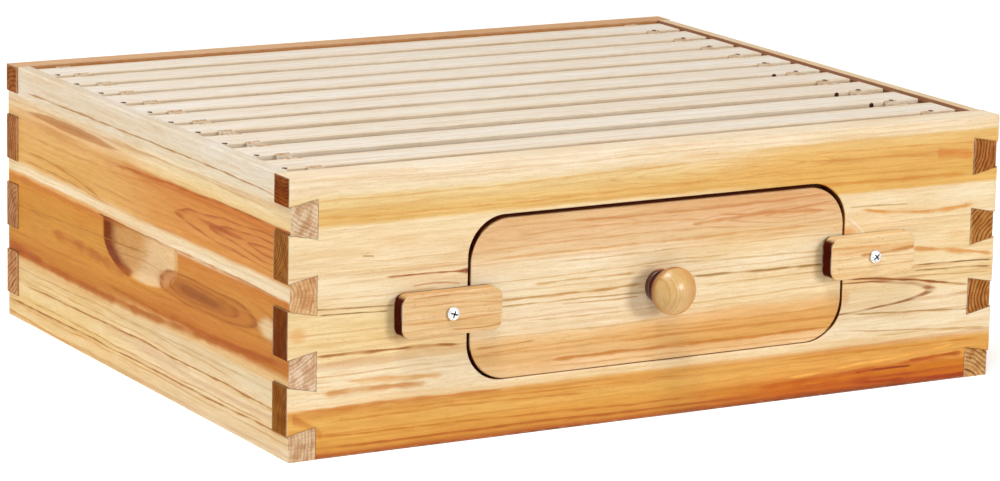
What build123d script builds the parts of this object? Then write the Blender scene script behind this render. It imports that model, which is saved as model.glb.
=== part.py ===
from build123d import *
import math
import os

os.makedirs("parts", exist_ok=True)

# A ten-frame medium super of a Langstroth hive, with an observation hatch in its long front board.
# X runs along the front, Y from front to back, Z up. The origin is the middle of the footprint.

# Box: outside sizes over the long boards, and the boards' thickness
box_length = 505.0
box_depth = 413.0
box_height = 170.0
wall = 19.0
back_wall = 16.5  # the back board is planed thinner
tail_stand = 1.2  # how far the long boards' tails stand out of the end walls
arris = 0.8  # rounding that sanding leaves on outside edges
seat_gap = 0.3  # left between pieces that rest on each other but come apart
over = 2.0  # how far a cut runs past the surface it opens

# Corner joints: through dovetails, pins on the end walls, the lowest pin flush with the bottom rim
pin_height = 16.0  # at the outside face
pin_pitch = 45.5
pin_slope = 11.2  # degrees that a pin's cheek leans
top_tail_least = 8.0
glue_gap = 0.1

# Grip cut into the outside of each end wall with a round cutter
grip_length = 112.0
grip_height = 32.5
grip_depth = 11.0
grip_flat = 11.0  # height of the grip at its full depth
grip_top = 97.0  # above the bottom rim

# Opening in the front board, with a pane behind it
opening_length = 269.2
opening_height = 101.5
opening_radius = 25.0
opening_shift = 1.8  # to the right of the box's middle
sill_height = 35.2
pane_thickness = 3.0
pane_margin = 10.0  # how far the pane laps the board all round the opening
pane_corner = 4.0
pane_fit = 0.3

# Hatch board: stands on the sill, pushed to the right of the opening
hatch_gap_left = 2.3
hatch_gap_top = 2.6
hatch_radius = 26.0
hatch_recess = 1.2  # its face lies this far behind the front
hatch_arris = 1.0

# Turned knob, from its seat on the hatch outwards
knob_length = 27.0
knob_flange_radius = 10.5
knob_flange_height = 3.6
knob_neck_radius = 6.8
knob_neck_height = 8.5
knob_cap_radius = 14.9
knob_cap_height = 17.5  # where the cap is widest
knob_rim_radius = 3.5
knob_screw_bite = 14.0
knob_shift = -0.7  # to the right of the hatch's middle
knob_drop = 2.3  # below the hatch's middle

# Turn buttons that hold the hatch, each on one screw
left_button_length = 68.0
right_button_length = 63.0
right_button_shift = -1.2  # from the screw to the right button's middle
toggle_height = 26.4
toggle_thickness = 10.0
toggle_corner = 6.5
toggle_arris = 0.9
left_setback = 15.8  # from the opening's edge out to the screw
right_setback = 16.5
left_rise = 47.1  # from the sill up to the screw
right_rise = 54.0
right_tilt = 0.3  # degrees that the right button stands off level
toggle_fit = 0.08  # running clearance round the screw

# Screws: radii and lengths
button_head_radius = 4.1
button_head_height = 2.6
button_shank_radius = 2.1
button_bite = 15.0  # length of the screw inside the board
pane_head_radius = 3.0
pane_head_height = 1.6
pane_shank_radius = 1.5
pane_bite = 9.0
knob_head_radius = 4.0
knob_shank_radius = 2.0
screw_fit = 0.05
recess_width = 0.95
recess_share = 0.62  # arm span of a cross recess over its head's diameter

# Rests for the frames, cut into the inside top edge of the end walls
rabbet_width = 9.5
frame_drop = 0.8  # frame tops below the rim
lug_height = 9.5
lug_gap_left = 0.4
lug_gap_right = 3.6
space_below = 10.4  # under the frames

# Hoffman frames: the gaps in front of each frame, and behind the last, fix the shoulder width
frame_gaps = [7.2, 6.0, 4.8, 3.2, 1.0, 0.3, 0.9, 0.3, 0.3, 0.3, 3.2]
lug_length = 17.0
top_bar_width = 27.0
top_bar_height = 19.0
bar_arris = 0.6
notch_depth = 2.5  # into each side of the top bar, for the end bar's ears
frame_fit = 0.1
end_bar_thickness = 9.5
end_bar_width = 28.0  # below the shoulders
shoulder_height = 62.0
shoulder_taper = 10.0
ear_drop = 0.2  # ears below the top bar's face
bottom_bar_width = 19.0
bottom_bar_height = 9.5
groove_width = 2.6
groove_depth = 7.0
bottom_groove_depth = 3.0
foundation_thickness = 2.0
foundation_fit = 0.5

# Places worked out from the sizes above
hatch_gap_right = seat_gap
hatch_gap_bottom = seat_gap
knob_reach = knob_length - hatch_recess
front_y = (knob_reach - box_depth) / 2
back_y = front_y + box_depth
middle_y = (front_y + back_y) / 2
half_length = box_length / 2
end_face = half_length - tail_stand
pin_count = 1 + int((box_height - pin_height - top_tail_least) // pin_pitch)
pin_centers = [pin_height / 2 + pin_pitch * step for step in range(pin_count)]

pane_seat = pane_thickness + seat_gap
hatch_length = opening_length - hatch_gap_left - hatch_gap_right
hatch_height = opening_height - hatch_gap_top - hatch_gap_bottom
hatch_x = opening_shift + (hatch_gap_left - hatch_gap_right) / 2
hatch_z = sill_height + hatch_gap_bottom + hatch_height / 2
knob_x = hatch_x + knob_shift
knob_z = hatch_z - knob_drop
hatch_face_y = front_y + hatch_recess
hatch_back_y = front_y + wall - pane_seat - seat_gap
hatch_thickness = hatch_back_y - hatch_face_y
opening_z = sill_height + opening_height / 2
inside_y = front_y + wall

toggle_back_y = front_y - seat_gap
toggle_face_y = toggle_back_y - toggle_thickness
left_pivot = (opening_shift - opening_length / 2 - left_setback, sill_height + left_rise)
right_pivot = (opening_shift + opening_length / 2 + right_setback, sill_height + right_rise)

lip = wall - rabbet_width
rabbet_depth = frame_drop + lug_height + seat_gap
frame_top = box_height - frame_drop
frame_bottom = space_below
frame_left = -half_length + lip + lug_gap_left
frame_right = half_length - lip - lug_gap_right
frame_x = (frame_left + frame_right) / 2
end_bar_out = (frame_right - frame_left) / 2 - lug_length  # outer faces of the end bars, from frame_x
end_bar_in = end_bar_out - end_bar_thickness
frame_count = len(frame_gaps) - 1
shoulder_width = (box_depth - wall - back_wall - sum(frame_gaps)) / frame_count
frame_centers = [
    inside_y + sum(frame_gaps[: step + 1]) + shoulder_width * (step + 0.5)
    for step in range(frame_count)
]


def finish(piece, name):
    # Names a finished piece and writes its file
    piece.label = name
    export_step(piece, f"parts/{name}.step")


def front_view(y):
    # A drawing plane seen from the front, at depth y
    return Plane.XZ.offset(-y)


def half_pin(inward, grow):
    # Half the height of a pin, at a distance in from the outside face
    return pin_height / 2 + inward * math.tan(math.radians(pin_slope)) + grow


def cheek_outline(side, low, high):
    # A cut from past the outside face to the joint's root, between two leaning cheeks.
    # low and high give the cheek's height at a distance in from the outside face.
    root = wall + glue_gap
    Polygon(
        (side * (half_length + over), low(-over)),
        (side * (half_length - root), low(root)),
        (side * (half_length - root), high(root)),
        (side * (half_length + over), high(-over)),
        align=None,
    )


def cut_pin_sockets(y, amount):
    # Opens both ends of a long board for the end walls' pins
    with BuildSketch(front_view(y)) as sockets:
        for side in (-1, 1):
            for z in pin_centers:
                cheek_outline(
                    side,
                    lambda inward: z - half_pin(inward, glue_gap / 2),
                    lambda inward: z + half_pin(inward, glue_gap / 2),
                )
    extrude(sockets.sketch, amount=amount, mode=Mode.SUBTRACT)


def cut_tail_sockets(side, y, amount):
    # Opens one end of an end wall for a long board's tails
    tops = pin_centers[1:] + [None]
    with BuildSketch(front_view(y)) as sockets:
        for z, above in zip(pin_centers, tops):
            cheek_outline(
                side,
                lambda inward: z + half_pin(inward, -glue_gap / 2),
                lambda inward: box_height + over if above is None else above - half_pin(inward, -glue_gap / 2),
            )
    extrude(sockets.sketch, amount=amount, mode=Mode.SUBTRACT)


def pan_screw(place, head_radius, head_height, shank_radius, length, turn):
    # A screw along the place's axis: its head stands on the place, its shank runs back into the wood
    section = Plane(origin=place.origin, x_dir=place.x_dir, z_dir=place.y_dir * -1)
    rim = head_height * 0.45
    with BuildSketch(section) as profile:
        with BuildLine():
            Polyline((0, head_height), (0, -length), (shank_radius, shank_radius * 2 - length),
                     (shank_radius, 0), (head_radius, 0), (head_radius, rim))
            EllipticalCenterArc((0, rim), head_radius, head_height - rim, arc_size=90)
        make_face()
    revolve(profile.sketch, axis=Axis(place.origin, place.z_dir))
    cross_recess(place.offset(head_height), head_radius, head_height * 0.6, turn)


def cross_recess(place, head_radius, depth, turn):
    # The crossed slot that a driver turns the screw by
    with BuildSketch(place) as cross:
        Rectangle(head_radius * 2 * recess_share, recess_width, rotation=turn)
        Rectangle(recess_width, head_radius * 2 * recess_share, rotation=turn)
    extrude(cross.sketch, amount=-depth, mode=Mode.SUBTRACT)


def facing_front(x, y, z):
    # A place on a front face, looking out of the box
    return Plane(origin=(x, y, z), x_dir=(1, 0, 0), z_dir=(0, -1, 0))


def facing_back(x, y, z):
    # A place on a face that looks to the back of the box
    return Plane(origin=(x, y, z), x_dir=(-1, 0, 0), z_dir=(0, 1, 0))


def drill(place, radius, depth):
    # A round hole from the place inwards
    with BuildSketch(place.offset(over)) as hole:
        Circle(radius)
    extrude(hole.sketch, amount=-depth - over, mode=Mode.SUBTRACT)


# Where the pane is screwed to the inside of the front board: three screws along the top, three below
pane_screw_spots = [
    (opening_shift + column * (opening_length / 2 - opening_radius), opening_z + row)
    for row in (-(opening_height + pane_margin) / 2, (opening_height + pane_margin) / 2)
    for column in (-1, 0, 1)
]

# Front board
with BuildPart() as front_panel:
    with Locations((0, front_y + wall / 2, box_height / 2)):
        Box(box_length, wall, box_height)
    fillet(front_panel.faces().sort_by(Axis.Y)[0].edges(), arris)
    cut_pin_sockets(front_y, -wall)
    with BuildSketch(front_view(front_y)):
        with Locations((opening_shift, opening_z)):
            RectangleRounded(opening_length, opening_height, opening_radius)
    extrude(amount=-wall, mode=Mode.SUBTRACT)
    fillet(front_panel.faces().sort_by(Axis.Y)[0].inner_wires()[0].edges(), arris)
    with BuildSketch(front_view(inside_y)):
        with Locations((opening_shift, opening_z)):
            RectangleRounded(
                opening_length + 2 * (pane_margin + pane_fit),
                opening_height + 2 * (pane_margin + pane_fit),
                pane_corner,
            )
    extrude(amount=pane_seat, mode=Mode.SUBTRACT)
    for x, z in pane_screw_spots:
        drill(facing_back(x, inside_y, z), pane_shank_radius + screw_fit, pane_seat + pane_bite + over)
    for x, z in (left_pivot, right_pivot):
        drill(facing_front(x, front_y, z), button_shank_radius + screw_fit, button_bite + screw_fit)
finish(front_panel.part, "front_panel")

# Back board
with BuildPart() as back_panel:
    with Locations((0, back_y - back_wall / 2, box_height / 2)):
        Box(box_length, back_wall, box_height)
    fillet(back_panel.faces().sort_by(Axis.Y)[-1].edges(), arris)
    cut_pin_sockets(back_y, back_wall)
finish(back_panel.part, "back_panel")


def end_wall(side):
    # One short wall, with its pins, the frames' rest and the grip
    cutter_radius = ((grip_length / 2) ** 2 + grip_depth**2) / (2 * grip_depth)
    cutter_x = side * (end_face + cutter_radius - grip_depth)
    low_z = grip_top - grip_height
    thickness = wall - tail_stand
    with BuildPart() as board:
        with Locations((side * (end_face - thickness / 2), middle_y, box_height / 2)):
            Box(thickness, box_depth, box_height)
        fillet(board.faces().sort_by(lambda face: side * face.center().X)[-1].edges(), arris)
        cut_tail_sockets(side, front_y, -wall)
        cut_tail_sockets(side, back_y, back_wall)
        with Locations((side * (half_length - lip - rabbet_width), middle_y, box_height)):
            Box(2 * rabbet_width, box_depth + over, 2 * rabbet_depth, mode=Mode.SUBTRACT)
        with BuildSketch(Plane(origin=(cutter_x, middle_y, 0), x_dir=(-side, 0, 0), z_dir=(0, side, 0))):
            with BuildLine():
                start = (cutter_radius, grip_top - grip_flat)
                end = (cutter_radius - grip_depth - over, low_z - over)
                TangentArc(start, end, tangent=(0, -1))
                Polyline(end, (0, low_z - over), (0, grip_top), (cutter_radius, grip_top), start)
            make_face()
        revolve(axis=Axis((cutter_x, middle_y, 0), (0, 0, 1)), mode=Mode.SUBTRACT)
    return board.part


finish(end_wall(-1), "left_end_wall")
finish(end_wall(1), "right_end_wall")

# Clear pane behind the opening
with BuildPart() as viewing_pane:
    with BuildSketch(front_view(inside_y)):
        with Locations((opening_shift, opening_z)):
            RectangleRounded(
                opening_length + 2 * pane_margin, opening_height + 2 * pane_margin, pane_corner - pane_fit
            )
        with Locations(*pane_screw_spots):
            Circle(pane_shank_radius + 2 * screw_fit, mode=Mode.SUBTRACT)
    extrude(amount=pane_thickness)
finish(viewing_pane.part, "viewing_pane")

with BuildPart() as pane_screws:
    for count, (x, z) in enumerate(pane_screw_spots):
        pan_screw(
            facing_back(x, inside_y + screw_fit, z),
            pane_head_radius,
            pane_head_height,
            pane_shank_radius,
            pane_seat + pane_bite,
            17 * count,
        )
finish(pane_screws.part, "pane_screws")

# Hatch board
with BuildPart() as hatch_board:
    with BuildSketch(front_view(hatch_face_y)):
        with Locations((hatch_x, hatch_z)):
            RectangleRounded(hatch_length, hatch_height, hatch_radius)
    extrude(amount=-hatch_thickness)
    fillet(hatch_board.faces().sort_by(Axis.Y)[0].edges(), hatch_arris)
    with Locations(facing_back(knob_x, hatch_back_y, knob_z)):
        CounterSinkHole(knob_shank_radius + screw_fit, knob_head_radius + screw_fit, hatch_thickness + over, 90)
finish(hatch_board.part, "hatch_board")

# Knob, turned about its own axis and then seated on the hatch. Two tangent arcs make its cap:
# the rim's, and the crown's, whose centre lies on the axis.
rim_x = knob_cap_radius - knob_rim_radius
crown_reach = knob_length - knob_rim_radius
crown_z = (rim_x**2 + knob_cap_height**2 - crown_reach**2) / (2 * (knob_cap_height - crown_reach))
rim_turn = math.degrees(math.atan2(knob_cap_height - crown_z, rim_x))
with BuildPart() as hatch_knob:
    with BuildSketch(Plane.XZ):
        with BuildLine():
            flange_step = knob_flange_height / 3
            bore = knob_shank_radius + screw_fit
            Polyline(
                (0, knob_length), (0, knob_screw_bite + screw_fit), (bore, knob_screw_bite + screw_fit),
                (bore, 0), (knob_flange_radius, 0),
                (knob_flange_radius, knob_flange_height - flange_step),
            )
            TangentArc(
                (knob_flange_radius, knob_flange_height - flange_step),
                (knob_flange_radius - flange_step, knob_flange_height),
                tangent=(0, 1),
            )
            Spline(
                (knob_flange_radius - flange_step, knob_flange_height),
                (knob_neck_radius, knob_neck_height),
                (knob_cap_radius, knob_cap_height),
                tangents=((-1, 0.3), (0, 1)),
            )
            CenterArc((rim_x, knob_cap_height), knob_rim_radius, 0, rim_turn)
            CenterArc((0, crown_z), knob_length - crown_z, rim_turn, 90 - rim_turn)
        make_face()
    revolve(axis=Axis.Z)
knob_seat = facing_front(knob_x, hatch_face_y, knob_z)
finish(hatch_knob.part.moved(knob_seat.location), "hatch_knob")

# Countersunk screw through the hatch into the knob
with BuildPart() as knob_screw:
    with BuildSketch(Plane(origin=(knob_x, hatch_back_y, knob_z), x_dir=(1, 0, 0), z_dir=(0, 0, -1))):
        with BuildLine():
            cone = knob_head_radius - knob_shank_radius
            reach = hatch_thickness + knob_screw_bite
            Polyline(
                (0, 0), (knob_head_radius, 0), (knob_shank_radius, cone),
                (knob_shank_radius, reach - 2 * knob_shank_radius), (0, reach), close=True,
            )
        make_face()
    revolve(axis=Axis((knob_x, hatch_back_y, knob_z), (0, -1, 0)))
    cross_recess(facing_back(knob_x, hatch_back_y, knob_z), knob_head_radius, cone * 0.7, 30)
finish(knob_screw.part, "knob_screw")


def toggle(pivot, length, shift, tilt):
    # A wooden turn button with its screw hole at or near the middle
    x, z = pivot
    with BuildPart() as button:
        with BuildSketch(front_view(toggle_back_y)):
            with Locations((x + shift, z)):
                RectangleRounded(length, toggle_height, toggle_corner, rotation=tilt)
        extrude(amount=toggle_thickness)
        fillet(button.faces().sort_by(Axis.Y)[0].edges(), toggle_arris)
        drill(facing_front(x, toggle_face_y, z), button_shank_radius + toggle_fit, toggle_thickness + over)
    return button.part


finish(toggle(left_pivot, left_button_length, 0, 0), "toggle_left")
finish(toggle(right_pivot, right_button_length, right_button_shift, right_tilt), "toggle_right")

with BuildPart() as toggle_screws:
    for (x, z), turn in ((left_pivot, 70), (right_pivot, 40)):
        pan_screw(
            facing_front(x, toggle_face_y - toggle_fit, z),
            button_head_radius,
            button_head_height,
            button_shank_radius,
            toggle_fit + toggle_thickness + seat_gap + button_bite,
            turn,
        )
finish(toggle_screws.part, "toggle_screws")

# One frame at Y 0: top bar, two end bars, bottom bar and the sheet between them
neck_width = top_bar_width - 2 * notch_depth

with BuildPart() as top_bar:
    with BuildSketch(front_view(top_bar_width / 2)):
        lug_bottom = frame_top - lug_height
        bar_bottom = frame_top - top_bar_height
        Polygon(
            (frame_left, frame_top), (frame_left, lug_bottom),
            (frame_x - end_bar_out, lug_bottom), (frame_x - end_bar_out, bar_bottom),
            (frame_x + end_bar_out, bar_bottom), (frame_x + end_bar_out, lug_bottom),
            (frame_right, lug_bottom), (frame_right, frame_top),
            align=None,
        )
    extrude(amount=top_bar_width)
    fillet(top_bar.faces().sort_by(Axis.Z)[-1].edges(), bar_arris)
    for side in (-1, 1):
        for edge in (-1, 1):
            ear_x = frame_x + side * (end_bar_out - end_bar_thickness / 2)
            with Locations((ear_x, edge * (neck_width / 2 + notch_depth), frame_top - top_bar_height / 2)):
                Box(
                    end_bar_thickness + 2 * frame_fit, 2 * notch_depth, top_bar_height + over,
                    mode=Mode.SUBTRACT,
                )
    with Locations((frame_x, 0, bar_bottom)):
        Box(2 * end_bar_in, groove_width, 2 * groove_depth, mode=Mode.SUBTRACT)

with BuildPart() as end_bars:
    for side in (-1, 1):
        with BuildSketch(Plane.YZ.offset(frame_x + side * end_bar_out)):
            shoulder_z = frame_top - shoulder_height
            half_shoulder = shoulder_width / 2
            half_foot = end_bar_width / 2
            ear_top = frame_top - ear_drop
            Polygon(
                (-half_foot, frame_bottom), (half_foot, frame_bottom),
                (half_foot, shoulder_z - shoulder_taper), (half_shoulder, shoulder_z),
                (half_shoulder, ear_top), (-half_shoulder, ear_top),
                (-half_shoulder, shoulder_z), (-half_foot, shoulder_z - shoulder_taper),
                align=None,
            )
            with Locations((0, frame_top)):
                Rectangle(
                    neck_width + 2 * frame_fit, 2 * (top_bar_height + frame_fit), mode=Mode.SUBTRACT
                )
            with Locations((0, frame_bottom)):
                Rectangle(
                    bottom_bar_width + 2 * frame_fit, 2 * (bottom_bar_height + frame_fit),
                    mode=Mode.SUBTRACT,
                )
        extrude(amount=-side * end_bar_thickness)

with BuildPart() as bottom_bar:
    with Locations((frame_x, 0, frame_bottom + bottom_bar_height / 2)):
        Box(2 * end_bar_out, bottom_bar_width, bottom_bar_height)
    with Locations((frame_x, 0, frame_bottom + bottom_bar_height)):
        Box(2 * end_bar_in, groove_width, 2 * bottom_groove_depth, mode=Mode.SUBTRACT)

with BuildPart() as foundation:
    sheet_low = frame_bottom + bottom_bar_height - bottom_groove_depth + foundation_fit
    sheet_high = frame_top - top_bar_height + groove_depth - foundation_fit
    with Locations((frame_x, 0, (sheet_low + sheet_high) / 2)):
        Box(2 * (end_bar_in - foundation_fit), foundation_thickness, sheet_high - sheet_low)

frame_pieces = {
    "top_bar": top_bar.part,
    "end_bars": end_bars.part,
    "bottom_bar": bottom_bar.part,
    "foundation": foundation.part,
}
for number, center_y in enumerate(frame_centers, start=1):
    for name, piece in frame_pieces.items():
        finish(piece.moved(Location((0, center_y, 0))), f"{name}_{number:02d}")
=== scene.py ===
import math

import bpy
from mathutils import Matrix, Vector


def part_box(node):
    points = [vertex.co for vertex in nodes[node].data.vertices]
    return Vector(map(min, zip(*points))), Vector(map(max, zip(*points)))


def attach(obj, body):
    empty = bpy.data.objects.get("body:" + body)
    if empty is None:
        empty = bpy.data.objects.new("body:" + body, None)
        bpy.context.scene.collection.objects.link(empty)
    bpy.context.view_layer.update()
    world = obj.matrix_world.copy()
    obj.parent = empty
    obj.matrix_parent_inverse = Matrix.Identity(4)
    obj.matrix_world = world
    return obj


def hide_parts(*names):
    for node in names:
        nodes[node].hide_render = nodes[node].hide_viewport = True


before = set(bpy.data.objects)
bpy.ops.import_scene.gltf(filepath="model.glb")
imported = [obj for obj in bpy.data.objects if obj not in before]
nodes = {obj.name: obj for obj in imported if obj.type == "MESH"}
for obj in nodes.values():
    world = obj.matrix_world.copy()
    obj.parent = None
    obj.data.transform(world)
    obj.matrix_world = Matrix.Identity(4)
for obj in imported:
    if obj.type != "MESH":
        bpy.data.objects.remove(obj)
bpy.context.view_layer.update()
scene = bpy.context.scene
print("frame loaded:", len(nodes), "nodes")

hive = {  # where the box's faces lie, in mm from the middle and from the ground
    "end": 252.5, "endWall": 251.3, "front": 193.6, "hatch": 192.4, "button": 203.9,
    "reach": 219.4,  # the back, and the knob's tip on the other side
    "top": 170.0, "board": 19.0, "backBoard": 16.5,
    "pinPitch": 45.5, "halfPin": 8.0, "tailSlope": 0.198, "grip": (62.0, 99.0),
}
white = (1.0, 1.0, 1.0, 1.0)


# small helpers for the node trees; each finds its tree by the sockets it is given

def treeOf(values):
    return next(value.id_data for value in values if isinstance(value, bpy.types.NodeSocket))


def paint(code, lift=(0, 0, 0)):  # a colour as it looks on screen, to the linear value that a socket wants
    parts = [(int(code[at : at + 2], 16) + more) / 255 for at, more in zip((0, 2, 4), lift)]
    return (*[p / 12.92 if p <= 0.04045 else ((p + 0.055) / 1.055) ** 2.4 for p in parts], 1.0)


def put(tree, kind, **settings):  # a new node, laid out in rows
    node = tree.nodes.new(kind)
    count = len(tree.nodes)
    node.location = (190 * (count % 16), -280 * (count // 16))
    for key, value in settings.items():
        setattr(node, key, value)
    return node


def plug(socket, value):  # a link from a socket, or a plain value
    if isinstance(value, bpy.types.NodeSocket):
        socket.id_data.links.new(value, socket)
    else:
        socket.default_value = value


def chain(kind, values, **settings):  # a node whose first inputs take the values in order
    node = put(treeOf(values), kind, **settings)
    for socket, value in zip(node.inputs, values):
        plug(socket, value)
    return node


def calc(operation, *values):
    return chain("ShaderNodeMath", values, operation=operation).outputs[0]


def vector(operation, *values):
    return chain("ShaderNodeVectorMath", values, operation=operation).outputs[0]


def times(first, *others):
    for value in others:
        first = calc("MULTIPLY", first, value)
    return first


def plus(first, second):
    return calc("ADD", first, second)


def minus(first, second):
    return calc("SUBTRACT", first, second)


def over(first, second):
    return calc("DIVIDE", first, second)


def timesPlus(first, factor, extra):
    return calc("MULTIPLY_ADD", first, factor, extra)


def ease(value, low, high, start=0.0, end=1.0):  # soft step from start to end
    return chain("ShaderNodeMapRange", (value, low, high, start, end), interpolation_type="SMOOTHSTEP").outputs[0]


def fade(value, low, high):  # 1 below low, 0 above high
    return ease(value, low, high, 1.0, 0.0)


def inside(value, low, high, soft):  # 1 between two limits
    return times(ease(value, low - soft, low), fade(value, high, high + soft))


def feed(node, **values):  # inputs by name, written without their spaces
    named = {socket.name.replace(" ", ""): socket for socket in node.inputs}
    for key, value in values.items():
        plug(named[key], value)
    return node.outputs


def speckle(place, scale, detail=2.0, roughness=0.5):  # plain noise at a place
    node = put(place.id_data, "ShaderNodeTexNoise", noise_dimensions="3D")
    return feed(node, Vector=place, Scale=scale, Detail=detail, Roughness=roughness)[0]


def noise(*parts, detail=2.0, roughness=0.5):  # three values, or pairs of a value and the size of its spots
    values = [over(*part) if isinstance(part, tuple) else part for part in parts]
    return speckle(chain("ShaderNodeCombineXYZ", values).outputs[0], 1.0, detail, roughness)


def wobble(value, detail=1.0):  # noise along one line
    return feed(put(value.id_data, "ShaderNodeTexNoise", noise_dimensions="1D"), W=value, Scale=1.0, Detail=detail)[0]


def sway(value, reach, middle=0.0):  # a noise of 0 to 1 turned into a shift to both sides of the middle
    return timesPlus(minus(value, 0.5), reach, middle)


def tint(amount, under, over, mode="MIX"):
    node = put(treeOf((amount, under, over)), "ShaderNodeMix", data_type="RGBA", blend_type=mode)
    for at, value in ((0, amount), (6, under), (7, over)):
        plug(node.inputs[at], value)
    return node.outputs[2]


def ramp(value, stops, full, interpolation="EASE", lift=(0, 0, 0)):  # stops: (height, colour), lowest first
    node = chain("ShaderNodeValToRGB", (over(value, full),))
    band = node.color_ramp
    band.interpolation = interpolation
    while len(band.elements) < len(stops):
        band.elements.new(0.5)
    for element, (height, code) in zip(band.elements, stops):
        element.position = height / full
    for element, (height, code) in zip(band.elements, stops):
        element.color = paint(code, lift)
    return node.outputs[0]


def whim(value):  # a number from 0 to 1 that stays the same for one whole part of the value
    return feed(put(value.id_data, "ShaderNodeTexWhiteNoise", noise_dimensions="1D"), W=calc("FLOOR", value))[0]


def stepped(value, cuts, levels):  # one level below the first cut, the next above it, and so on
    total = levels[0]
    for cut, before, after in zip(cuts, levels, levels[1:]):
        total = timesPlus(calc("GREATER_THAN", value, cut), after - before, total)
    return total


def pick(place, spec):  # spec: axis letter, sign, offset in mm
    axis, sign, offset = spec
    return timesPlus(chain("ShaderNodeSeparateXYZ", (place,)).outputs["XYZ".index(axis)], sign, offset)


def after(done, *values):  # the same values, but worked out once done is, or Cycles runs out of room
    return [timesPlus(done, 0.000001, value) for value in values]


def addBump(shader, height, strength, distance):
    node = put(height.id_data, "ShaderNodeBump")
    feed(shader, Normal=feed(node, Strength=strength, Distance=distance, Height=height)[0])


def seenRays(tree):  # 1 for the camera, mirrors and glass, 0 for the light on the object
    rays = put(tree, "ShaderNodeLightPath").outputs
    return calc("MAXIMUM", rays["Is Camera Ray"], calc("MAXIMUM", rays["Is Glossy Ray"], rays["Is Transmission Ray"]))


def startGroup(name, inputs, outputs):
    tree = bpy.data.node_groups.new(name, "ShaderNodeTree")
    for label, value in inputs:
        kind = "NodeSocketVector" if isinstance(value, tuple) else "NodeSocketFloat"
        tree.interface.new_socket(name=label, in_out="INPUT", socket_type=kind).default_value = value
    for label in outputs:
        tree.interface.new_socket(name=label, in_out="OUTPUT", socket_type="NodeSocketFloat")
    return tree, put(tree, "NodeGroupInput").outputs, put(tree, "NodeGroupOutput").inputs


def useGroup(group, **values):
    return feed(put(treeOf(values.values()), "ShaderNodeGroup", node_tree=group), **values)


# shared effects

def makeWoodGrain():  # long grain, in mm; Height is the warped place across the board
    tree, given, result = startGroup(
        "woodGrain",
        [("Along", 0.0), ("Across", 0.0), ("Deep", 0.0), ("Seed", 0.0), ("Wave", 1.0),
         ("Wave Length", 150.0), ("Ring Gap", 5.0), ("Tilt", 0.2)],
        ["Height", "Rings", "Fibre", "Pores", "Cloud"],
    )
    along, across, deep, seed = given["Along"], given["Across"], given["Deep"], given["Seed"]
    long = over(along, given["Wave Length"])
    height = sway(noise(long, (across, 55.0), seed), times(given["Wave"], 4.0), across)
    height = sway(noise((along, 34.0), (across, 9.0), seed, detail=3.0), 2.2, height)
    height = timesPlus(deep, given["Tilt"], height)
    spread = noise(times(long, 0.25), (height, 17.0), seed, detail=1.0)
    phase = plus(over(height, given["Ring Gap"]), timesPlus(spread, 4.0, seed))
    part = calc("FRACT", phase)
    line = times(ease(part, 0.45, 0.9), fade(part, 0.93, 1.0))
    patchy = noise((along, 60.0), (height, 5.0), seed)
    weight = times(calc("POWER", whim(phase), 1.6), ease(patchy, 0.3, 0.62, 0.25, 1.0))
    fine = noise((along, 14.0), (height, 0.55), (deep, 0.55), roughness=0.6)
    broad = noise((along, 55.0), (height, 2.1), (deep, 2.1), roughness=0.6)
    pore = noise((along, 3.2), (height, 0.42), (deep, 0.42), detail=1.0)
    plug(result["Height"], height)
    plug(result["Rings"], times(line, weight))
    plug(result["Fibre"], timesPlus(fine, 0.55, times(broad, 0.45)))
    plug(result["Pores"], ease(pore, 0.64, 0.74))
    plug(result["Cloud"], noise((along, 85.0), (height, 11.0), seed, detail=3.0))
    return tree


def makeRingFigure():  # nested ovals, or a cathedral where the centre lies past the board's end
    tree, given, result = startGroup(
        "ringFigure",
        [("Along", 0.0), ("Height", 0.0), ("Centre Along", 0.0), ("Centre Height", 0.0), ("Half Length", 50.0),
         ("Half Height", 8.0), ("Rings", 3.0), ("Line From", 0.4), ("Softness", 0.15), ("Power", 1.6), ("Seed", 0.0)],
        ["Mask", "Lines", "Core"],
    )
    along, height, seed, power = given["Along"], given["Height"], given["Seed"], given["Power"]
    side = calc("ABSOLUTE", over(minus(along, given["Centre Along"]), given["Half Length"]))
    rise = calc("ABSOLUTE", over(minus(height, given["Centre Height"]), given["Half Height"]))
    both = plus(calc("POWER", side, power), calc("POWER", rise, power))  # a power of 2 is an ellipse, less is a lens
    reach = sway(noise((along, 48.0), (height, 16.0), seed, detail=1.0), 0.3, calc("POWER", both, over(1.0, power)))
    part = calc("FRACT", times(reach, given["Rings"]))
    line = times(ease(part, given["Line From"], 0.88), fade(part, 0.92, 1.0))
    patchy = noise((along, 20.0), (height, 3.0), seed, detail=0.0)
    kept = times(fade(reach, 1.0, 1.06), ease(patchy, 0.3, 0.6, 0.45, 1.0))
    plug(result["Mask"], fade(reach, minus(1.02, given["Softness"]), 1.06))
    plug(result["Lines"], times(line, kept))
    plug(result["Core"], fade(reach, 0.05, 0.7))
    return tree


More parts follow.
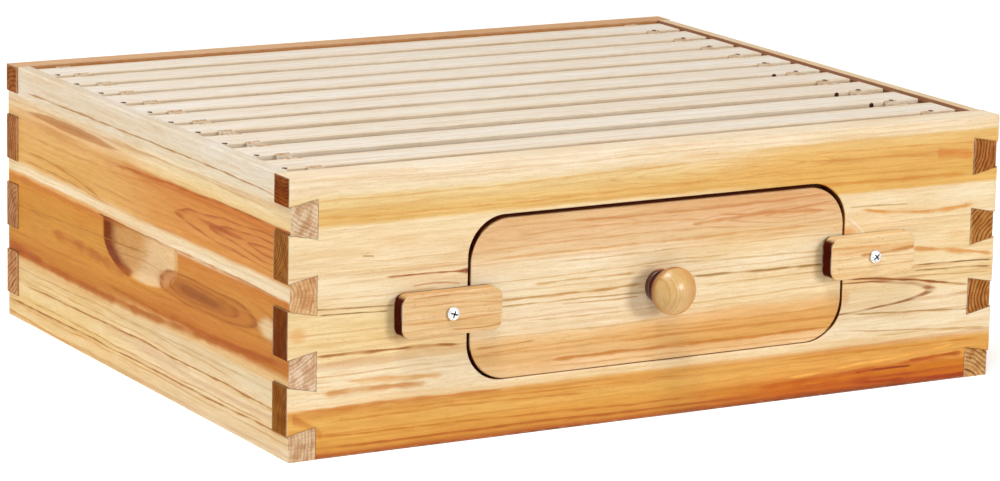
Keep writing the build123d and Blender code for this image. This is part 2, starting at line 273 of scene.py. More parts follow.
def makeGrainLine():  # one drawn line of late wood, through three heights
    tree, given, result = startGroup(
        "grainLine",
        [("Along", 0.0), ("Height", 0.0), ("From", 0.0), ("To", 100.0), ("Start", 0.0), ("Middle", 0.0),
         ("End", 0.0), ("Width", 1.0), ("Seed", 0.0)],
        ["Mask"],
    )
    along = given["Along"]
    share = over(minus(along, given["From"]), minus(given["To"], given["From"]))
    rest, centre = minus(1.0, share), minus(share, 0.5)
    first = times(times(centre, rest), times(given["Start"], -2.0))
    middle = times(times(share, rest), times(given["Middle"], 4.0))
    last = times(times(centre, share), times(given["End"], 2.0))
    own = timesPlus(given["Seed"], 13.7, times(given["Start"], 3.1))
    wander = wobble(plus(over(along, 60.0), own), 2.0)
    path = plus(plus(first, middle), sway(wander, 1.3, last))
    ends = times(ease(share, 0.0, 0.1), fade(share, 0.9, 1.0))
    thick = wobble(minus(over(along, 17.0), own))
    half = times(given["Width"], plus(thick, 0.15), timesPlus(ends, 0.6, 0.4))
    away = over(minus(given["Height"], path), half)
    both = times(ease(away, -1.7, -0.2), fade(away, 0.2, 1.0))  # soft below, sharp above, as a late ring is
    patchy = wobble(timesPlus(own, 0.7, over(along, -24.0)), 0.0)
    plug(result["Mask"], times(both, times(ends, ease(patchy, 0.25, 0.55, 0.65, 1.0))))
    return tree


def makeEndGrain():  # arcs round the pith on a sawn end, in mm
    tree, given, result = startGroup(
        "endGrain",
        [("Across", 0.0), ("Deep", 0.0), ("Pith Across", 85.0), ("Pith Deep", 40.0), ("Ring Gap", 3.2), ("Seed", 0.0)],
        ["Rings", "Pores", "Rays", "Cloud"],
    )
    across, deep, seed = given["Across"], given["Deep"], given["Seed"]
    high, far = minus(across, given["Pith Across"]), minus(deep, given["Pith Deep"])
    radius = calc("SQRT", timesPlus(high, high, times(far, far)))
    uneven = noise((across, 13.0), (deep, 13.0), seed)
    phase = over(timesPlus(uneven, 5.0, radius), given["Ring Gap"])
    part = calc("FRACT", phase)
    line = times(ease(part, 0.3, 0.86), fade(part, 0.9, 1.0))
    dots = noise((across, 0.5), (deep, 0.5), seed, detail=1.0)
    plug(result["Rings"], times(line, timesPlus(whim(phase), 0.6, 0.4)))
    plug(result["Pores"], ease(dots, 0.6, 0.72))
    plug(result["Rays"], noise(times(calc("ARCTAN2", high, far), 60.0), (radius, 14.0), seed))
    plug(result["Cloud"], noise((across, 7.0), (deep, 5.0), seed))
    return tree


def makeEdgeWear():  # 1 along the edges of a box, in mm, broken up by a little noise
    tree, given, result = startGroup(
        "edgeWear",
        [("Place", (0.0, 0.0, 0.0)), ("Low", (0.0, 0.0, 0.0)), ("High", (1.0, 1.0, 1.0)), ("Width", 1.0)],
        ["Mask"],
    )
    place, width = given["Place"], given["Width"]
    least = vector("MINIMUM", vector("SUBTRACT", place, given["Low"]), vector("SUBTRACT", given["High"], place))
    x, y, z = chain("ShaderNodeSeparateXYZ", (least,)).outputs
    second = calc("MAXIMUM", calc("MINIMUM", x, y), calc("MINIMUM", calc("MAXIMUM", x, y), z))
    ragged = sway(speckle(place, 0.16, 3.0), times(width, 2.4), second)
    plug(result["Mask"], fade(ragged, times(width, 0.4), width))
    return tree


def makeJointLine():  # the dark hairline round the sockets of a dovetailed end, in mm
    tree, given, result = startGroup(
        "jointLine",
        [("End Gap", 0.0), ("Height", 0.0), ("Root", 19.0), ("Slope", 0.2), ("Side", 1.0), ("Width", 0.7)],
        ["Mask"],
    )
    gap, height, width = given["End Gap"], given["Height"], given["Width"]
    pitch, half = hive["pinPitch"], hive["halfPin"]
    turn = calc("FRACT", over(plus(height, pitch / 2 - half), pitch))
    away = calc("ABSOLUTE", times(minus(turn, 0.5), pitch))
    cheek = minus(away, timesPlus(gap, given["Slope"], half))
    past = minus(gap, given["Root"])
    side = times(fade(calc("ABSOLUTE", cheek), 0.1, width), calc("LESS_THAN", past, 0.3))
    root = times(fade(calc("ABSOLUTE", past), 0.1, width), calc("LESS_THAN", times(cheek, given["Side"]), 0.3))
    worn = noise((gap, 5.0), (height, 7.0), 4.0)
    plug(result["Mask"], times(calc("MAXIMUM", side, root), ease(worn, 0.3, 0.6, 0.35, 1.0)))
    return tree


woodGrain = makeWoodGrain()
ringFigure = makeRingFigure()
grainLine = makeGrainLine()
endGrain = makeEndGrain()
edgeWear = makeEdgeWear()
jointLine = makeJointLine()
print("shared effects built")


def startMaterial(name):  # a Principled shader, the place in mm and the way the surface faces
    material = bpy.data.materials.new(name)
    material.use_nodes = True
    tree = material.node_tree
    tree.nodes.clear()
    output = put(tree, "ShaderNodeOutputMaterial")
    shader = put(tree, "ShaderNodeBsdfPrincipled")
    plug(output.inputs[0], shader.outputs[0])
    source = put(tree, "ShaderNodeTexCoord")
    scale = chain("ShaderNodeVectorMath", (source.outputs["Object"],), operation="SCALE")
    scale.inputs["Scale"].default_value = 1000.0
    return material, shader, scale.outputs[0], source.outputs["Normal"]


plainWood = {  # what a piece's own dictionary leaves out; lengths in mm
    "size": hive["top"], "tilt": 0.2, "ringShare": 0.6, "ringTint": "D9A873", "fibreTint": "F0E6D4", "pores": 0.4,
    "cloud": 0.5, "cloudTint": "F2E4C6", "blush": 0.35,
    "hollows": [],  # painted shade in gaps, recesses and shaded faces, and tints of cut hollows: depths, places along, softness, heights, colour, share
    "scorch": [],  # painted shadow at the grips' shaded ends: depths where it starts, is full, fades and ends, places along, softness, colour, share
    "figures": [],  # centre, half size, rings, where a line starts, line, fill and core colours, softness, power
    "patches": [],  # centre, half size, colour, share, softness
    "lines": [],  # places along, heights at the start, middle and end, width, colour, share
    "sawnFrom": 0.6, "sawnTo": 0.8, "pithCuts": [], "endGap": 3.0, "endShare": 0.6, "endTint": "8A5A34",
    "endLift": (0, 0, 0),  # steps of 255 by which endBands is raised in red, green and blue
    "wear": 0.3, "wearTint": "F3E2C6", "wearWidth": 1.2,
    "roughness": 0.4, "specular": 0.2, "bump": 0.25, "coat": 0.0, "coatRoughness": 0.2,
}


def paintDepthShadeAndTint(board, colour, along, across, deep, fibre):  # painted shade in gaps, recesses and shaded faces, darker by depth, and paler or darker tints of cut hollows
    for low, high, fromAlong, toAlong, soft, fromHeight, toHeight, code, share in board["hollows"]:
        zone = times(inside(along, fromAlong, toAlong, soft), inside(across, fromHeight, toHeight, 2.0))
        colour = tint(times(ease(deep, low, high), zone, share), colour, paint(code))
    # painted shadow along the grip's shaded end, by depth
    for start, full, fading, gone, fromAlong, toAlong, soft, code, share in board["scorch"]:
        zone = times(inside(along, fromAlong, toAlong, soft), inside(across, *hive["grip"], 1.0))
        gripShadow = times(ease(deep, start, full), fade(deep, fading, gone), zone)
        colour = tint(times(gripShadow, timesPlus(fibre, 0.5, share - 0.25)), colour, paint(code))
    return colour


def drawFigures(board, colour, along, height, rings):
    quiet, far, tall = 1.0, along, height
    patches = [(*patch[:4], 1.0, 0.9, None, 0, *patch[4:6], None, 0, patch[6]) for patch in board["patches"]]
    for (centreAlong, centreHeight, halfLength, halfHeight, turns, lineFrom, lineCode, lineShare, fillCode,
         fillShare, coreCode, coreShare, soft, *power) in board["figures"] + patches:
        shape = useGroup(ringFigure, Along=far, Height=tall, CentreAlong=centreAlong, CentreHeight=centreHeight,
                         HalfLength=halfLength, HalfHeight=halfHeight, Rings=turns, LineFrom=lineFrom,
                         Softness=soft, Power=power[0] if power else 1.6, Seed=centreAlong % 7)
        quiet = times(minus(1.0, shape["Mask"]), quiet)
        for part, share, code in (("Mask", fillShare, fillCode), ("Core", coreShare, coreCode),
                                  ("Lines", lineShare, lineCode)):
            if share:
                colour = tint(times(shape[part], share), colour, paint(code))
        far, tall = after(shape["Lines"], along, height)
    if board["figures"]:
        rings = times(rings, timesPlus(quiet, 0.8, 0.2))
    colour = tint(times(rings, board["ringShare"]), colour, paint(board["ringTint"]), "MULTIPLY")
    return colour, rings, far, tall


def drawLines(board, colour, along, height, far, tall):
    for lineFrom, lineTo, start, middle, end, width, code, share in board["lines"]:
        line = useGroup(grainLine, Along=far, Height=tall, From=lineFrom, To=lineTo, Start=start, Middle=middle,
                        End=end, Width=width, Seed=start % 5)["Mask"]
        soft = times(line, share)  # a warm stain round a darker core
        colour = tint(soft, colour, paint("F0CE9A"), "MULTIPLY")
        colour = tint(times(soft, line), colour, paint(code))
        far, tall = after(line, along, height)
    return colour


def sawnEnd(board, across, deep):
    cuts, piths = board["pithCuts"], board["piths"]
    ends = useGroup(endGrain, Across=across, Deep=deep, PithAcross=stepped(across, cuts, [p[0] for p in piths]),
                    PithDeep=stepped(across, cuts, [p[1] for p in piths]), RingGap=board["endGap"],
                    Seed=board["seed"])
    colour = ramp(across, board["endBands"], board["size"], "LINEAR", board["endLift"])
    colour = tint(times(ease(ends["Cloud"], 0.35, 0.65), 0.6), colour, paint("D2AC80"), "MULTIPLY")
    colour = tint(times(ends["Rings"], board["endShare"]), colour, paint(board["endTint"]), "MULTIPLY")
    colour = tint(times(ease(ends["Rays"], 0.4, 0.62), 0.3), colour, paint("D8B48C"), "MULTIPLY")
    return tint(times(ends["Pores"], 0.45), colour, paint("8C5E38"), "MULTIPLY"), ends["Rings"]


def woodMaterial(looks, corners=None, joints=None):
    board = {**plainWood, **looks}
    material, shader, place, facing = startMaterial(board["name"])
    along, across, deep = [pick(place, spec) for spec in board["axes"]]
    grain = useGroup(woodGrain, Along=along, Across=across, Deep=deep, Seed=board["seed"], Wave=board["wave"],
                     WaveLength=board["waveLength"], RingGap=board["ringGap"], Tilt=board["tilt"])
    height, fibre, pores = grain["Height"], grain["Fibre"], grain["Pores"]
    colour = ramp(height, board["bands"], board["size"])
    if "farBands" in board:
        colour = tint(ease(along, *board["farFrom"]), colour, ramp(height, board["farBands"], board["size"]))
    cloud = ease(grain["Cloud"], 0.3, 0.7)
    colour = tint(times(cloud, board["cloud"]), colour, paint(board["cloudTint"]), "MULTIPLY")
    blush = noise((along, 60.0), (height, 7.0), board["seed"] + 5.0)
    colour = tint(times(ease(blush, 0.45, 0.75), board["blush"]), colour, paint("F6E6D0"), "MULTIPLY")
    colour = paintDepthShadeAndTint(board, colour, along, across, deep, fibre)
    colour, rings, far, tall = drawFigures(board, colour, along, height, grain["Rings"])
    colour = drawLines(board, colour, along, height, far, tall)
    colour = tint(ease(fibre, 0.35, 0.68), colour, paint(board["fibreTint"]), "MULTIPLY")
    colour = tint(times(pores, board["pores"]), colour, paint("B98A58"), "MULTIPLY")
    endWays = calc("ABSOLUTE", pick(facing, (board["axes"][0][0], 1, 0)))
    sawn = ease(endWays, board["sawnFrom"], board["sawnTo"])
    endColour, endRings = sawnEnd(board, across, deep)
    colour = tint(sawn, colour, endColour)
    for endGap, slope, root, side in joints(place) if joints else []:
        seam = useGroup(jointLine, EndGap=endGap, Height=across, Root=root, Slope=slope, Side=side)["Mask"]
        colour = tint(times(seam, timesPlus(sawn, -0.75, 0.75)), colour, paint("5A3014"))
    if corners:
        wear = useGroup(edgeWear, Place=place, Low=corners[0], High=corners[1], Width=board["wearWidth"])["Mask"]
        colour = tint(times(wear, board["wear"]), colour, paint(board["wearTint"]))
    sheen = timesPlus(fibre, 0.22, timesPlus(rings, -0.12, board["roughness"]))
    gloss = timesPlus(sawn, -0.85 * board["specular"], board["specular"])
    feed(shader, BaseColor=colour, Roughness=timesPlus(sawn, 0.2, sheen), SpecularIORLevel=gloss,
         CoatWeight=board["coat"], CoatRoughness=board["coatRoughness"])
    relief = timesPlus(grain["Rings"], 0.5, timesPlus(pores, -0.8, fibre))
    addBump(shader, timesPlus(times(endRings, sawn), 1.2, relief), board["bump"], 0.00025)
    return material


def cornersOf(*names):  # the box round these nodes, in mm
    boxes = [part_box(name) for name in names]
    low = tuple(1000 * min(b[0][k] for b in boxes) for k in range(3))
    high = tuple(1000 * max(b[1][k] for b in boxes) for k in range(3))
    return low, high


def dress(material, *names):
    for name in names:
        data = nodes[name].data
        data.materials.clear()
        data.materials.append(material)


def link(name, mesh):
    piece = bpy.data.objects.new(name, mesh)
    scene.collection.objects.link(piece)
    return piece


# the four boards; heights and places in mm, read off the real piece

frontBoard = {
    "name": "oiledFrontBoard", "seed": 3.3,
    "axes": [("X", 1, 0), ("Z", 1, 0), ("Y", 1, hive["front"])],
    "wave": 0.8, "waveLength": 190.0, "ringGap": 5.4, "ringShare": 0.6, "ringTint": "D29C60",
    "bands": [(0, "7A3A14"), (1.6, "B8682A"), (5, "D69A44"), (13, "E2AC54"), (20, "E5B562"), (27, "E0AB58"),
              (29.5, "E1AE62"), (32, "F0D8B0"), (38, "F4E4C6"), (53, "F3E4C6"), (60, "F0DAAF"), (70, "EED6A5"),
              (84, "EFD9AB"), (98, "F3E2C2"), (120, "F1DDBA"), (137, "F2DEB8"), (140, "E6BF77"), (147, "E8C582"),
              (151, "ECD29A"), (156, "EDD7A8"), (159, "F3E4CA"), (170, "F4E6D0")],
    "farBands": [(0, "5C240C"), (1.6, "A04C18"), (5, "C86C14"), (11, "D07E1C"), (15, "DE9C48"), (20, "E5AE5A"),
                 (27, "E3AE5E"), (29, "E8BA80"), (31, "F2DFBC"), (44, "F4E6CA"), (60, "F3E0BE"), (68, "EED5A6"),
                 (80, "F3DDB4"), (98, "F2DBB0"), (116, "F3DEB8"), (119, "F4E5C6"), (127, "F3E1C0"), (129.5, "E6BA6B"),
                 (140, "E4B665"), (152, "E5B86B"), (161, "E8C482"), (164, "F3E2C4"), (170, "F4E5CC")],
    "farFrom": (-10.0, 110.0), "blush": 0.5,
    # painted shade on the reveal of the hatch opening, darker with depth
    "hollows": [(0.7, 2.4, -134, 138, 2.0, 34, 138, "8A2E14", 0.9)],
    "lines": [
        (-190, -133, 105.5, 105.3, 104.4, 1.2, "93401C", 0.85), (-172, -136, 98.2, 98.8, 97.2, 1.0, "AA6634", 0.55),
        (-251, -178, 91, 89.4, 89, 0.9, "6E5030", 0.6), (-234, -184, 86.8, 86.2, 85.4, 0.8, "66462A", 0.75),
        (-240, -133, 62.6, 62.2, 60.0, 1.8, "9A6230", 0.9), (-250, -150, 50.5, 50, 50, 0.8, "C4A274", 0.45),
        (-216, -146, 46, 44.5, 43, 3.0, "D8A05C", 0.6), (-232, -156, 39.5, 40, 39.4, 3.4, "C47E3C", 0.65),
        (-250, -100, 29.6, 30.4, 29.8, 2.4, "C27430", 0.6), (-250, -228, 27, 22, 14, 5.0, "B45E22", 0.45),
        (-250, 60, 14, 12, 9, 1.6, "B6641F", 0.45), (-230, -40, 22, 23, 20, 1.3, "C4782E", 0.5),
        (-210, 40, 26, 25.5, 24, 1.2, "CC8436", 0.5), (-240, 90, 6, 6.5, 5, 1.6, "AC5618", 0.45),
        (-214, -110, 117, 116, 118, 0.9, "DCC090", 0.5), (-204, -196, 119.6, 119.4, 119.2, 1.0, "A89050", 0.7),
        (-234, -120, 110, 110.6, 109.6, 1.0, "DCBC8C", 0.5), (-236, -150, 96, 95.4, 96, 0.9, "D8B488", 0.45),
        (-250, 30, 154.5, 155, 157.5, 1.2, "DCAE6C", 0.5), (-250, 60, 144, 143.4, 146, 1.4, "D8A050", 0.45),
        (-236, 60, 165, 164.6, 166, 0.8, "DCC8A4", 0.5),
        (138, 186, 119.8, 119.2, 118, 0.8, "96864A", 0.6), (146, 238, 118.6, 112, 114.4, 2.2, "DC9648", 0.75),
        (150, 184, 102, 101, 100.8, 1.6, "96642E", 0.7), (186, 254, 89, 85, 79.6, 2.6, "D8924A", 0.7),
        (188, 254, 77.6, 77, 75.4, 0.9, "56381E", 0.85), (188, 254, 74, 73.4, 71, 1.1, "84643A", 0.7),
        (136, 240, 74, 68.5, 59.8, 1.6, "8A4A1C", 0.95), (170, 254, 71, 70, 68, 0.8, "A87844", 0.5),
        (138, 254, 51.6, 48, 44.6, 1.1, "9C7E46", 0.65), (136, 254, 40.8, 36, 32, 0.9, "B89664", 0.65),
        (160, 254, 35, 34, 31, 0.8, "C4A474", 0.5), (90, 234, 14, 18, 24, 2.0, "F6C060", 0.8),
        (146, 194, 12, 12.6, 12.4, 1.5, "7E2606", 0.9), (70, 232, 10, 13, 17, 3.0, "BC5A16", 0.65),
        (188, 233, 16.4, 16.8, 17, 2.0, "A84410", 0.75), (140, 246, 6, 4, 3, 2.4, "962E06", 0.65),
        (90, 250, 25.6, 26, 25, 1.6, "CC8830", 0.6), (204, 234, 150, 149, 147, 5.0, "D88640", 0.6),
        (104, 233, 136.4, 135, 134, 1.8, "D6923E", 0.65), (100, 204, 151, 150.4, 149, 1.1, "D89A50", 0.5),
        (106, 250, 156, 155.4, 154, 0.9, "D69C58", 0.45), (138, 153, 113, 108, 100, 3.4, "FAF0DE", 0.85),
        (60, 220, 20, 22, 21, 1.2, "E8B060", 0.5), (96, 200, 8, 8, 7, 1.6, "A8480E", 0.5),
    ],
    "figures": [
        (134, 61, 79, 10.6, 1.0, 0.82, "9A5624", 0.9, "F2DDB2", 0.5, None, 0, 0.1),
        (45, 151, 90, 7, 3.0, 0.6, "D09048", 0.4, None, 0, "D49450", 0.1, 0.5),
        (-132.6, 104.5, 9, 2.3, 1.4, 0.5, "8A3A1E", 0.5, "AC5228", 0.75, "6E220C", 0.95, 0.5),
    ],
    "patches": [(-246, 76, 8, 6.5, "DE9E50", 0.6, 0.8), (138, 104, 10, 4, "E8A458", 0.7, 0.8),
                (139, 62, 5, 7, "E4AE74", 0.55, 0.8), (222, 96, 12, 5, "E8BE88", 0.5, 0.8)],
    "endBands": [(0, "A4702E"), (15, "9C6626"), (45, "925C22"), (50, "7A3C10"), (91, "7C4212"), (98, "A06C2E"),
                 (137, "A46E32"), (148, "B06420"), (162, "7C3C10"), (170, "965A26")],
    "piths": [(20.0, -30.0), (76.0, 60.0), (140.0, 40.0), (185.0, 8.0)], "pithCuts": [48.0, 94.0, 140.0],
    "endGap": 2.2, "endShare": 0.75, "endTint": "7A4A28", "wear": 0.15, "roughness": 0.42,
}

leftBoard = {
    "name": "oiledEndBoardLeft", "seed": 11.7,
    "axes": [("Y", -1, hive["reach"]), ("Z", 1, 0), ("X", 1, hive["endWall"])],
    "wave": 0.9, "waveLength": 170.0, "ringGap": 6.2, "ringShare": 0.55, "ringTint": "CC9258",
    "bands": [(0, "E6CD98"), (8, "E9D2A2"), (15, "E8CF98"), (22, "EBD6A6"), (36, "E4CA96"), (42, "E2BE88"),
              (46, "C07A26"), (52, "C4822E"), (58, "CE9038"), (70, "CE923A"), (84, "D0943A"), (95, "D29038"),
              (98.5, "E0AA66"), (101, "F2E2C4"), (105, "EDD7B0"), (108, "E0B36C"), (118, "DCAE66"), (135, "DFB170"),
              (141, "E4BC88"), (147, "E8D2AE"), (154, "E4DACC"), (170, "E4DACC")],
    "farBands": [(0, "E6D4B6"), (12, "E8D4AE"), (24, "ECDABA"), (40, "E4D4B4"), (47, "E2BE88"), (53, "BE7420"),
                 (59, "C88236"), (66, "CC8C3A"), (84, "CE8E3E"), (94, "CC8436"), (97, "F3E5CA"), (103, "EFDDBC"),
                 (107, "DC9C50"), (118, "D89650"), (130, "D69248"), (136, "CC7E36"), (139, "EED4A0"), (146, "EEDDB8"),
                 (156, "E6DCCA"), (170, "E4DCD0")],
    "farFrom": (110.0, 290.0), "blush": 0.45, "specular": 0.1,
    "hollows": [(0.4, 2.4, 158, 262, 6.0, 62, 99, "D6A66A", 0.9), (0.4, 2.4, 204, 236, 20.0, 62, 92, "EACDA0", 0.85)],
    # painted shadow at the back end of the grip
    "scorch": [(0.1, 0.8, 2.0, 5.0, 149, 184, 10.0, "7E3606", 1.0)],
    "lines": [
        (10, 420, 154.6, 157, 156.2, 1.1, "A2703C", 0.75), (150, 404, 149, 148, 146.4, 1.0, "CCAA7C", 0.5),
        (162, 460, 132.5, 137.2, 136, 1.8, "B0601E", 0.85), (188, 404, 130, 134, 131.4, 1.2, "C47A34", 0.55),
        (150, 330, 127, 131, 133, 0.9, "CC8844", 0.5), (28, 150, 116, 114, 107, 1.4, "BC823C", 0.65),
        (20, 170, 110, 108.6, 105.4, 1.2, "C48A4A", 0.6), (28, 200, 78, 82, 82, 1.2, "A87C3C", 0.55),
        (-20, 430, 48.6, 47, 60, 4.6, "A85A12", 0.7), (-30, 60, 50.6, 49.6, 48, 3.6, "A4501A", 0.55),
        (150, 404, 54.6, 53, 58, 1.8, "B0601E", 0.6), (-10, 200, 96, 96, 95.6, 3.4, "C47632", 0.5),
        # the dark line at 97 mm is painted shadow under the grip's top edge
        (140, 240, 97.3, 97.0, 96.9, 1.3, "5A2808", 0.95), (250, 404, 97, 96.4, 95.4, 1.6, "B46A34", 0.6),
        (10, 440, 24.6, 28.6, 27, 1.3, "A66C2C", 0.9), (-30, 460, 11.6, 13.6, 16, 1.2, "A0682C", 0.9),
        (15, 404, 16, 16.9, 17.6, 0.9, "B88648", 0.6), (20, 280, 31, 32, 31, 0.9, "C89A5E", 0.5),
        (40, 360, 36, 37, 34, 0.9, "CCA470", 0.5), (-10, 120, 3.4, 2.2, 1.0, 1.4, "CC9450", 0.6),
        (-10, 130, 10.4, 9.4, 10, 1.2, "D4A45E", 0.55), (60, 250, 9, 10.4, 11.6, 1.0, "D4A868", 0.5),
        (66, 196, 71.5, 70.5, 66.5, 6.0, "AE6428", 0.65), (0, 140, 60, 59, 60, 1.6, "C88440", 0.5),
        (30, 150, 128, 127, 129, 1.2, "C88C50", 0.4), (180, 404, 63, 65, 68, 1.6, "C07A34", 0.5),
        (360, 404, 86, 84, 78, 2.0, "C8803A", 0.5),
    ],
    "figures": [
        (404, 120.5, 146, 11.5, 3.0, 0.5, "AC5A22", 0.85, "D08C44", 0.3, None, 0, 0.2),
        (322, 121.8, 48, 3.0, 1.5, 0.4, "A84E1A", 0.4, "BC6226", 0.5, "9C4012", 0.75, 0.7),
        (296, 74.5, 82, 9.6, 3.2, 0.45, "965014", 0.7, "B87026", 0.75, "8A4812", 0.85, 0.2, 2.3),
        (104, 143.2, 74, 3.2, 2.0, 0.6, "A87444", 0.2, "B87A40", 0.8, "A66C3A", 0.4, 0.25),
    ],
    "patches": [(386, 74, 17, 9, "E6D2AA", 0.8, 0.7), (20, 50, 30, 5, "B05A20", 0.5, 0.9)],
    "endBands": [(0, "DABB92"), (20, "DABB92"), (38, "E2C4A2"), (66, "E2C4A0"), (84, "DEB27C"), (110, "DEB07A"),
                 (130, "DEC09A"), (170, "DEC29E")], "endLift": (4, 8, 14),
    "piths": [(9.0, -60.0), (92.0, -12.0), (100.0, -16.0), (230.0, 60.0)], "pithCuts": [30.0, 76.0, 122.0],
    "endGap": 2.4, "endShare": 0.5, "endTint": "9A7048", "wear": 0.15, "roughness": 0.44,
}

rightBoard = {
    "name": "oiledEndBoardRight", "seed": 23.1,
    "axes": [("Y", 1, hive["front"]), ("Z", 1, 0), ("X", -1, hive["endWall"])],
    "wave": 1.1, "waveLength": 180.0, "ringGap": 5.8, "ringShare": 0.55, "ringTint": "CC9258",
    "bands": [(0, "C98244"), (18, "DCA35C"), (34, "DFAC66"), (40, "EEDCB8"), (66, "ECD7AE"), (88, "EDDCBA"),
              (110, "E9CFA0"), (116, "DFAA68"), (132, "DA9F58"), (140, "E8CA94"), (156, "EAD8B6"),
              (166, "E4CDAA"), (170, "E8D4B6")],
    "farBands": [(0, "D09050"), (20, "DBA65E"), (30, "EDD8B0"), (72, "EBD2A4"), (78, "DFAE6A"), (96, "DBA158"),
                 (102, "ECD7AE"), (126, "EAD3A8"), (132, "DFAE6C"), (146, "E6C694"), (166, "E4CCA8"), (170, "E6D0B0")],
    "farFrom": (90.0, 330.0), "blush": 0.4,
    # first entry: painted shade on the frame rest below the lip; second: a paler tint in the grip
    "hollows": [(7.9, 8.2, -20, 440, 2.0, 60, 200, "8E4A22", 0.8), (0.5, 3.0, 150, 200, 22.0, 66, 99, "E6C698", 0.6)],
    # painted shadow at the shaded end of the grip
    "scorch": [(0.1, 0.8, 1.8, 4.6, 228, 264, 10.0, "8A420C", 0.85)],
    "lines": [
        (10, 400, 24, 21, 27, 1.8, "AE6626", 0.65), (0, 400, 45, 47, 43, 1.3, "B0824C", 0.6),
        (20, 404, 62, 60, 66, 1.2, "A87844", 0.6), (0, 380, 150, 152, 149, 1.2, "B07C4C", 0.6),
        (60, 400, 135, 131, 136, 2.0, "B86C2A", 0.6), (0, 300, 98, 101, 96, 1.2, "BE8846", 0.55),
        (0, 404, 10, 8, 12, 2.4, "A4541C", 0.55), (60, 400, 34, 36, 33, 0.9, "C8A06A", 0.5),
        (0, 260, 78, 76, 79, 0.9, "C8A068", 0.5), (120, 400, 108, 112, 109, 1.3, "B87838", 0.55),
    ],
    "figures": [
        (10, 124, 160, 10, 3.0, 0.5, "AC5A24", 0.7, "D59A54", 0.2, None, 0, 0.3),
        (290, 84, 105, 9, 3.0, 0.5, "A05C2A", 0.7, "CE9250", 0.3, "A8622C", 0.6, 0.3),
        (118, 54, 13, 5, 2.0, 0.4, "7C3E1E", 0.6, "B0703A", 0.6, "5E2A14", 0.9, 0.5),
    ],
    "endBands": [(0, "D2A468"), (22, "CC9C5E"), (40, "BC7E3E"), (68, "B87A3A"), (86, "BE8440"), (114, "BA7E3C"),
                 (134, "AE6C32"), (170, "B07034")], "endLift": (6, 9, 12),
    "piths": [(-40.0, 40.0), (52.0, -9.0), (80.0, -12.0), (150.0, 34.0)], "pithCuts": [30.0, 76.0, 122.0],
    "endGap": 2.7, "endShare": 0.95, "endTint": "6A3616", "wear": 0.15, "roughness": 0.44,
}

backBoard = {
    "name": "oiledBackBoard", "seed": 31.9,
    "axes": [("X", -1, 0), ("Z", 1, 0), ("Y", -1, hive["reach"])],
    "wave": 1.0, "waveLength": 200.0, "ringGap": 5.6, "ringShare": 0.55, "ringTint": "CC9258",
    "bands": [(0, "DDB27A"), (22, "ECD8B0"), (48, "ECDAB6"), (56, "E4BA7C"), (70, "DDA358"), (92, "DFA85E"),
              (104, "E5BC7E"), (110, "EEDCBA"), (138, "ECD7AE"), (146, "E2B878"), (158, "E4C08C"),
              (166, "D8AC7A"), (170, "CFA070")],
    "farBands": [(0, "CC8844"), (18, "DBA45C"), (32, "EACF9E"), (60, "EDDAB6"), (84, "EAD3A6"), (94, "DFAE6C"),
                 (112, "DA9E54"), (124, "E1AE6A"), (132, "EDD8B2"), (160, "E0B884"), (170, "D4A87C")],
    "farFrom": (-60.0, 150.0), "blush": 0.4,
    # painted shade on the inner face
    "hollows": [(15.9, 16.3, -260, 260, 2.0, 20, 200, "BE7E40", 0.8)],
    "lines": [
        (-250, 250, 28, 25, 31, 1.4, "AE7E48", 0.6), (-240, 240, 52, 55, 50, 1.8, "B86E2E", 0.6),
        (-250, 100, 98, 103, 100, 1.6, "B26C2C", 0.6), (-200, 250, 128, 125, 130, 1.2, "A87844", 0.6),
        (-250, 250, 12, 15, 9, 2.0, "AE5E22", 0.5), (-100, 250, 76, 72, 78, 1.2, "BA8444", 0.55),
        (-250, 60, 148, 151, 147, 1.2, "B88850", 0.55), (0, 250, 160, 158, 161, 1.1, "C4965E", 0.5),
        (-250, 250, 36, 38, 35, 1.0, "C8A068", 0.5), (-250, 200, 116, 114, 118, 1.0, "C8A068", 0.5),
    ],
    "figures": [
        (-150, 81, 130, 11, 3.2, 0.5, "AC5C24", 0.7, "D59C58", 0.25, "B46C2C", 0.5, 0.3),
        (262, 110, 160, 12, 3.0, 0.5, "AE6228", 0.7, "DAA25E", 0.2, None, 0, 0.3),
        (60, 40, 14, 5.5, 2.0, 0.4, "7C3E1E", 0.6, "B0703A", 0.6, "5E2A14", 0.9, 0.5),
        (-30, 146, 10, 3.6, 2.0, 0.4, "84461F", 0.5, "B67A42", 0.5, "6A3016", 0.8, 0.5),
    ],
    "endBands": [(0, "D0A072"), (46, "CC9C70"), (50, "BE8E66"), (92, "BA8A60"), (96, "B47C4C"), (137, "AE7648"),
                 (150, "A8683A"), (170, "A0622E")],
    "piths": [(-10.0, 40.0), (60.0, 30.0), (110.0, -30.0), (120.0, 24.0)], "pithCuts": [48.0, 94.0, 140.0],
    "endGap": 3.0, "endShare": 0.75, "endTint": "8A5A38", "wear": 0.15, "roughness": 0.44,
}


def longJoints(place):  # sloping sockets at both ends of a long board: gap, slope, depth, side
    gap = minus(hive["end"], calc("ABSOLUTE", pick(place, ("X", 1, 0))))
    return [(gap, hive["tailSlope"], hive["board"], 1.0)]


def shortJoints(place):  # level sockets at the ends of an end wall
    return [(pick(place, ("Y", 1, hive["front"])), 0.0, hive["board"], -1.0),
            (pick(place, ("Y", -1, hive["reach"])), 0.0, hive["backBoard"], -1.0)]


for board, name, joints in ((frontBoard, "front_panel", longJoints), (leftBoard, "left_end_wall", shortJoints),
                            (rightBoard, "right_end_wall", shortJoints), (backBoard, "back_panel", longJoints)):
    dress(woodMaterial(board, cornersOf(name), joints), name)
print("boards finished")

# the hatch, its knob and the two turn buttons

